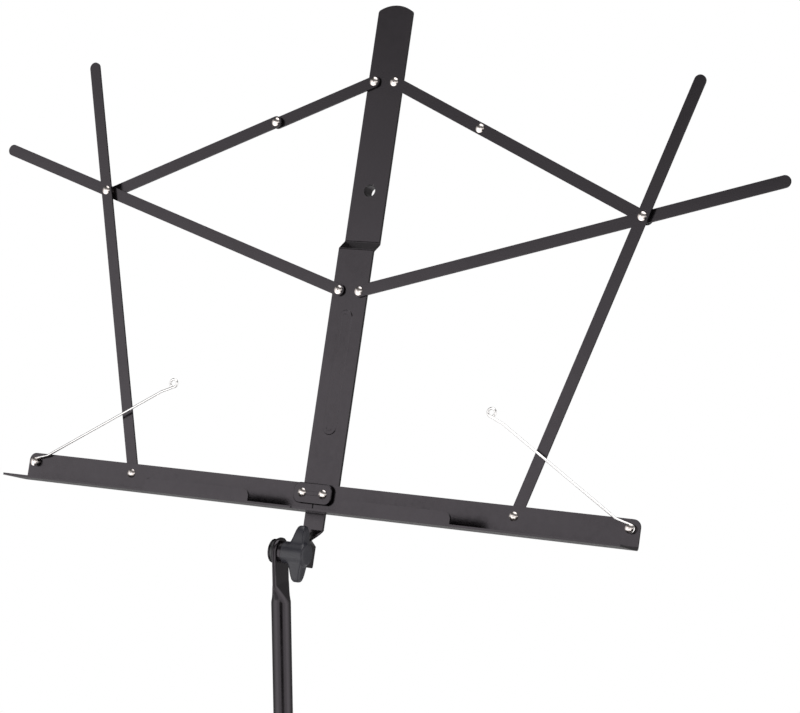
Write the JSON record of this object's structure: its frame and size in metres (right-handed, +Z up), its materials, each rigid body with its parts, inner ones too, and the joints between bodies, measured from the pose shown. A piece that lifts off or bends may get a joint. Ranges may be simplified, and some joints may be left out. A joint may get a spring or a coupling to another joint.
{
  "type": "music stand",
  "caption": "Folding music stand: wire-arm desk with two-part page tray, tilt knob, telescopic pole and folding tripod base.",
  "frame": {"origin": "on the floor, under the middle of the whole stand", "axes": "+Z up, +X to the player's right as they face the desk, +Y away from the player"},
  "size_m": [0.6494, 0.4483, 1.4264],
  "materials": {
    "black_steel": "satin black powder coat",
    "nickel_rivet": "bright nickel plate",
    "spring_wire": "bright zinc plate",
    "zinc_steel": "zinc plate",
    "black_nylon": "satin",
    "knob_plastic": "fine texture",
    "clamp_plastic": "fine texture",
    "foot_rubber": "matt"
  },
  "bodies": {
    "lower_pole": {"lower_tube": "black_steel", "lower_bush": "black_nylon", "lower_clamp": "clamp_plastic", "pole_end_cap": "black_nylon", "leg_hub": "clamp_plastic", "hub_pins": "nickel_rivet"},
    "lower_clamp_screw": {"lower_clamp_screw": "knob_plastic"},
    "middle_pole": {"middle_tube": "black_steel", "middle_guide": "black_nylon", "upper_bush": "black_nylon", "upper_clamp": "clamp_plastic"},
    "upper_clamp_screw": {"upper_clamp_screw": "knob_plastic"},
    "upper_pole": {"upper_tube": "black_steel", "upper_guide": "black_nylon", "tilt_bolt": "black_steel", "tilt_washer": "black_nylon"},
    "tilt_knob": {"tilt_knob": "knob_plastic", "tilt_knob_nut": "zinc_steel"},
    "desk": {"centre_bar": "black_steel", "hang_sleeve": "black_steel", "pivot_cover": "black_steel", "tray_pivot_rivets": "nickel_rivet", "tray_bushes": "zinc_steel", "bar_rivets": "nickel_rivet"},
    "leg_collar": {"leg_collar": "clamp_plastic"},
    "leg_collar_screw": {"leg_collar_screw": "knob_plastic"},
    "tray_right": {"tray_right": "black_steel", "tray_rivets_right": "nickel_rivet"},
    "lower_arm_right": {"lower_arm_right": "black_steel", "cross_rivet_right": "nickel_rivet"},
    "outer_bar_right": {"outer_bar_right": "black_steel", "bar_end_rivet_right": "nickel_rivet"},
    "outer_link_right": {"outer_link_right": "black_steel", "knee_rivet_right": "nickel_rivet"},
    "inner_link_right": {"inner_link_right": "black_steel", "knee_washer_right": "nickel_rivet"},
    "page_wire_right": {"page_wire_right": "spring_wire"},
    "tray_left": {"tray_left": "black_steel", "tray_rivets_left": "nickel_rivet"},
    "lower_arm_left": {"lower_arm_left": "black_steel", "cross_rivet_left": "nickel_rivet"},
    "outer_bar_left": {"outer_bar_left": "black_steel", "bar_end_rivet_left": "nickel_rivet"},
    "outer_link_left": {"outer_link_left": "black_steel", "knee_rivet_left": "nickel_rivet"},
    "inner_link_left": {"inner_link_left": "black_steel", "knee_washer_left": "nickel_rivet"},
    "page_wire_left": {"page_wire_left": "spring_wire"},
    "strut_back": {"strut_back": "black_steel"},
    "leg_back": {"leg_back": "black_steel", "leg_rivets_back": "nickel_rivet", "foot_back": "foot_rubber"},
    "strut_left": {"strut_left": "black_steel"},
    "leg_left": {"leg_left": "black_steel", "leg_rivets_left": "nickel_rivet", "foot_left": "foot_rubber"},
    "strut_right": {"strut_right": "black_steel"},
    "leg_right": {"leg_right": "black_steel", "leg_rivets_right": "nickel_rivet", "foot_right": "foot_rubber"}
  },
  "joints": [
    {"name": "middle_tube_slide", "type": "slide", "parent": "lower_pole", "child": "middle_pole", "axis": [0, 0, 1], "range_m": [-0.25, 0.05]},
    {"name": "upper_tube_slide", "type": "slide", "parent": "middle_pole", "child": "upper_pole", "axis": [0, 0, 1], "range_m": [-0.2, 0.08]},
    {"name": "lower_clamp_screw_turn", "type": "hinge", "parent": "lower_pole", "child": "lower_clamp_screw", "pos_m": [-0.00485, -0.0708, 0.478], "axis": [1, 0, 0], "continuous": true},
    {"name": "upper_clamp_screw_turn", "type": "hinge", "parent": "middle_pole", "child": "upper_clamp_screw", "pos_m": [-0.00485, -0.0708, 0.778], "axis": [1, 0, 0], "continuous": true},
    {"name": "tilt_knob_turn", "type": "hinge", "parent": "upper_pole", "child": "tilt_knob", "pos_m": [0, -0.0708, 1.05], "axis": [1, 0, 0], "continuous": true},
    {"name": "desk_tilt", "type": "hinge", "parent": "upper_pole", "child": "desk", "pos_m": [0, -0.0708, 1.05], "axis": [-1, 0, 0], "range_deg": [-18.5, 34.5]},
    {"name": "tray_fold_right", "type": "hinge", "parent": "desk", "child": "tray_right", "pos_m": [0.0085, -0.02282, 1.08119], "axis": [0, -0.9483, 0.3173], "range_deg": [0, 90]},
    {"name": "lower_arm_pivot_right", "type": "hinge", "parent": "desk", "child": "lower_arm_right", "pos_m": [0.0085, 0.02477, 1.22344], "axis": [0, -0.9483, 0.3173], "range_deg": [0, 73.27]},
    {"name": "outer_bar_pivot_right", "type": "hinge", "parent": "lower_arm_right", "child": "outer_bar_right", "pos_m": [0.22301, 0.04524, 1.28461], "axis": [0, -0.9483, 0.3173], "range_deg": [-56.53, 0]},
    {"name": "outer_link_pivot_right", "type": "hinge", "parent": "lower_arm_right", "child": "outer_link_right", "pos_m": [0.22301, 0.04524, 1.28461], "axis": [0, -0.9483, 0.3173], "range_deg": [0, 40.3]},
    {"name": "inner_link_pivot_right", "type": "hinge", "parent": "desk", "child": "inner_link_right", "pos_m": [0.0085, 0.07491, 1.37327], "axis": [0, -0.9483, 0.3173], "range_deg": [-66.46, 0]},
    {"name": "page_wire_swing_right", "type": "hinge", "parent": "tray_right", "child": "page_wire_right", "pos_m": [0.246, -0.03202, 1.0849], "axis": [0, -0.9483, 0.3173], "range_deg": [-110, 33]},
    {"name": "tray_fold_left", "type": "hinge", "parent": "desk", "child": "tray_left", "pos_m": [-0.0085, -0.02282, 1.08119], "axis": [0, 0.9483, -0.3173], "range_deg": [0, 90]},
    {"name": "lower_arm_pivot_left", "type": "hinge", "parent": "desk", "child": "lower_arm_left", "pos_m": [-0.0085, 0.02477, 1.22344], "axis": [0, 0.9483, -0.3173], "range_deg": [0, 73.27]},
    {"name": "outer_bar_pivot_left", "type": "hinge", "parent": "lower_arm_left", "child": "outer_bar_left", "pos_m": [-0.22301, 0.04524, 1.28461], "axis": [0, 0.9483, -0.3173], "range_deg": [-56.53, 0]},
    {"name": "outer_link_pivot_left", "type": "hinge", "parent": "lower_arm_left", "child": "outer_link_left", "pos_m": [-0.22301, 0.04524, 1.28461], "axis": [0, 0.9483, -0.3173], "range_deg": [0, 40.3]},
    {"name": "inner_link_pivot_left", "type": "hinge", "parent": "desk", "child": "inner_link_left", "pos_m": [-0.0085, 0.07491, 1.37327], "axis": [0, 0.9483, -0.3173], "range_deg": [-66.46, 0]},
    {"name": "page_wire_swing_left", "type": "hinge", "parent": "tray_left", "child": "page_wire_left", "pos_m": [-0.246, -0.03202, 1.0849], "axis": [0, 0.9483, -0.3173], "range_deg": [-110, 33]},
    {"name": "leg_fold", "type": "hinge", "parent": "lower_pole", "child": "strut_back", "pos_m": [-0.00485, -0.0463, 0.03969], "axis": [1, 0, 0], "range_deg": [0, 39]},
    {"name": "leg_pivot_back", "type": "hinge", "parent": "strut_back", "child": "leg_back", "pos_m": [-0.00485, 0.07012, 0.18347], "axis": [-1, 0, 0], "range_deg": [0, 78.01]},
    {"name": "strut_pivot_left", "type": "hinge", "parent": "lower_pole", "child": "strut_left", "pos_m": [-0.02607, -0.08305, 0.03969], "axis": [-0.5, 0.866, 0], "range_deg": [0, 39.01]},
    {"name": "leg_pivot_left", "type": "hinge", "parent": "strut_left", "child": "leg_left", "pos_m": [-0.12689, -0.14126, 0.18347], "axis": [0.5, -0.866, 0], "range_deg": [0, 78.01]},
    {"name": "strut_pivot_right", "type": "hinge", "parent": "lower_pole", "child": "strut_right", "pos_m": [0.01637, -0.08305, 0.03969], "axis": [-0.5, -0.866, 0], "range_deg": [0, 39.01]},
    {"name": "leg_pivot_right", "type": "hinge", "parent": "strut_right", "child": "leg_right", "pos_m": [0.11719, -0.14126, 0.18347], "axis": [0.5, 0.866, 0], "range_deg": [0, 78.01]},
    {"name": "leg_collar_slide", "type": "slide", "parent": "lower_pole", "child": "leg_collar", "axis": [0, 0, 1], "range_m": [0, 0.08247]},
    {"name": "leg_collar_screw_turn", "type": "hinge", "parent": "leg_collar", "child": "leg_collar_screw", "pos_m": [-0.00485, -0.0708, 0.32724], "axis": [0, -1, 0], "continuous": true}
  ],
  "couplings": [
    {"joint": "lower_arm_pivot_right", "follows": "tray_fold_right", "ratio": 0.81403},
    {"joint": "outer_bar_pivot_right", "follows": "tray_fold_right", "ratio": -0.62805},
    {"joint": "outer_link_pivot_right", "follows": "tray_fold_right", "ratio": 0.44763},
    {"joint": "inner_link_pivot_right", "follows": "tray_fold_right", "ratio": -0.73834},
    {"joint": "lower_arm_pivot_left", "follows": "tray_fold_left", "ratio": 0.81403},
    {"joint": "outer_bar_pivot_left", "follows": "tray_fold_left", "ratio": -0.62805},
    {"joint": "outer_link_pivot_left", "follows": "tray_fold_left", "ratio": 0.44763},
    {"joint": "inner_link_pivot_left", "follows": "tray_fold_left", "ratio": -0.73834},
    {"joint": "leg_pivot_back", "follows": "leg_fold", "ratio": 2},
    {"joint": "strut_pivot_left", "follows": "leg_fold", "ratio": 1},
    {"joint": "leg_pivot_left", "follows": "leg_fold", "ratio": 2},
    {"joint": "strut_pivot_right", "follows": "leg_fold", "ratio": 1},
    {"joint": "leg_pivot_right", "follows": "leg_fold", "ratio": 2},
    {"joint": "leg_collar_slide", "follows": "leg_fold", "m_per_rad": 0.12114}
  ]
}
